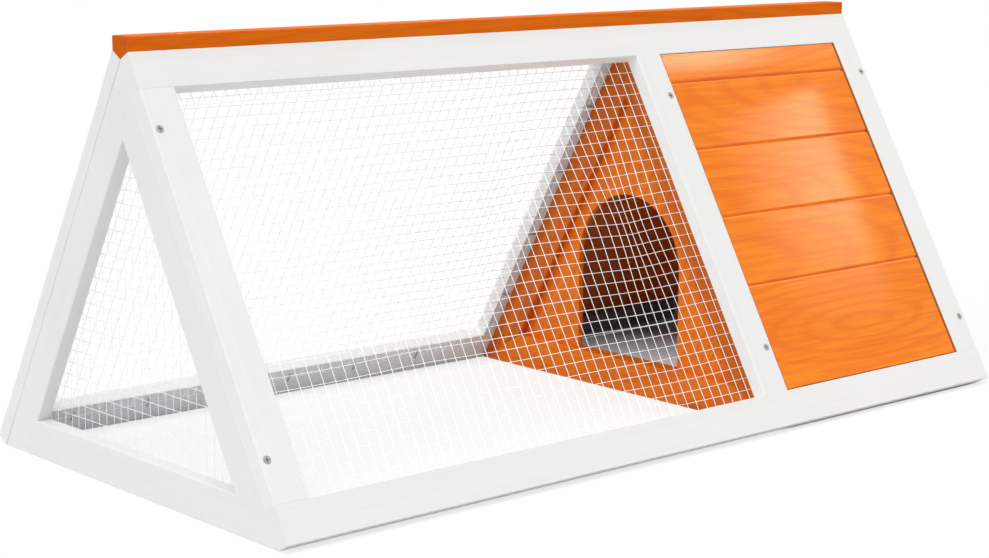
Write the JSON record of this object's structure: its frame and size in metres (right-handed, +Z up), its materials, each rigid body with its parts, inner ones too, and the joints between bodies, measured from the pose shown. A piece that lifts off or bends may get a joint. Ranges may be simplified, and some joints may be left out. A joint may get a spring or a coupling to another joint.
{
  "type": "wooden A-frame animal cage",
  "caption": "Triangular prism pet cage of painted battens, with a wire mesh run, a boarded sleeping end behind an arched partition, and a hinged back door.",
  "frame": {"origin": "on the ground under the middle of the cage's box", "axes": "+X along the ridge towards the sleeping end, +Y to the back with the door, +Z up"},
  "size_m": [0.98, 0.4861, 0.4194],
  "materials": {
    "white_paint": "white satin paint on softwood",
    "orange_stain": "glossy orange stain over a fine grain",
    "cap_stain": "deeper orange stain",
    "partition_stain": "orange stain in shade",
    "bare_wood": "bare softwood",
    "galvanised_wire": "galvanised welded wire",
    "zinc_plate": "zinc plated steel"
  },
  "bodies": {
    "cage": {"back_bottom_rail": "white_paint", "back_left_stile": "white_paint", "back_mid_stile": "white_paint", "back_panel_screws": "zinc_plate", "back_right_stile": "white_paint", "back_run_mesh": "galvanised_wire", "back_run_staples": "zinc_plate", "back_top_rail": "white_paint", "cap_nails": "zinc_plate", "door_stop": "white_paint", "door_stop_screws": "zinc_plate", "front_board_1": "orange_stain", "front_board_2": "orange_stain", "front_board_3": "orange_stain", "front_board_4": "orange_stain", "front_board_5": "orange_stain", "front_bottom_rail": "white_paint", "front_cleat_left": "orange_stain", "front_cleat_right": "orange_stain", "front_cleat_screws": "zinc_plate", "front_left_stile": "white_paint", "front_mid_stile": "white_paint", "front_panel_screws": "zinc_plate", "front_right_stile": "white_paint", "front_run_mesh": "galvanised_wire", "front_run_staples": "zinc_plate", "front_top_rail": "white_paint", "hinge_frame_screws": "zinc_plate", "hinge_left_frame_leaf": "zinc_plate", "hinge_left_pin": "zinc_plate", "hinge_right_frame_leaf": "zinc_plate", "hinge_right_pin": "zinc_plate", "left_end_back_leg": "white_paint", "left_end_bottom_rail": "white_paint", "left_end_front_leg": "white_paint", "left_end_mesh": "galvanised_wire", "left_end_staples": "zinc_plate", "mitre_splines": "bare_wood", "partition_back_leg": "partition_stain", "partition_bottom_rail": "partition_stain", "partition_front_leg": "partition_stain", "partition_panel": "partition_stain", "ridge_cap": "cap_stain", "right_end_back_leg": "white_paint", "right_end_bottom_rail": "white_paint", "right_end_front_leg": "white_paint", "right_end_panel": "orange_stain", "turn_button_screw": "zinc_plate"},
    "door": {"door_board_1": "orange_stain", "door_board_2": "orange_stain", "door_board_3": "orange_stain", "door_board_4": "orange_stain", "door_board_5": "orange_stain", "door_ledge_left": "orange_stain", "door_ledge_right": "orange_stain", "door_ledge_screws": "zinc_plate", "hinge_door_screws": "zinc_plate", "hinge_left_door_leaf": "zinc_plate", "hinge_right_door_leaf": "zinc_plate"},
    "turn_button": {"turn_button": "cap_stain"}
  },
  "joints": [
    {"name": "door_hinge", "type": "hinge", "parent": "cage", "child": "door", "pos_m": [0.3095, 0.0346, 0.37505], "axis": [1, 0, 0], "range_deg": [0, 175]},
    {"name": "turn_button_pivot", "type": "hinge", "parent": "cage", "child": "turn_button", "pos_m": [0.3095, 0.23149, 0.02742], "axis": [0, 0.866, 0.5], "range_deg": [0, 90]}
  ]
}
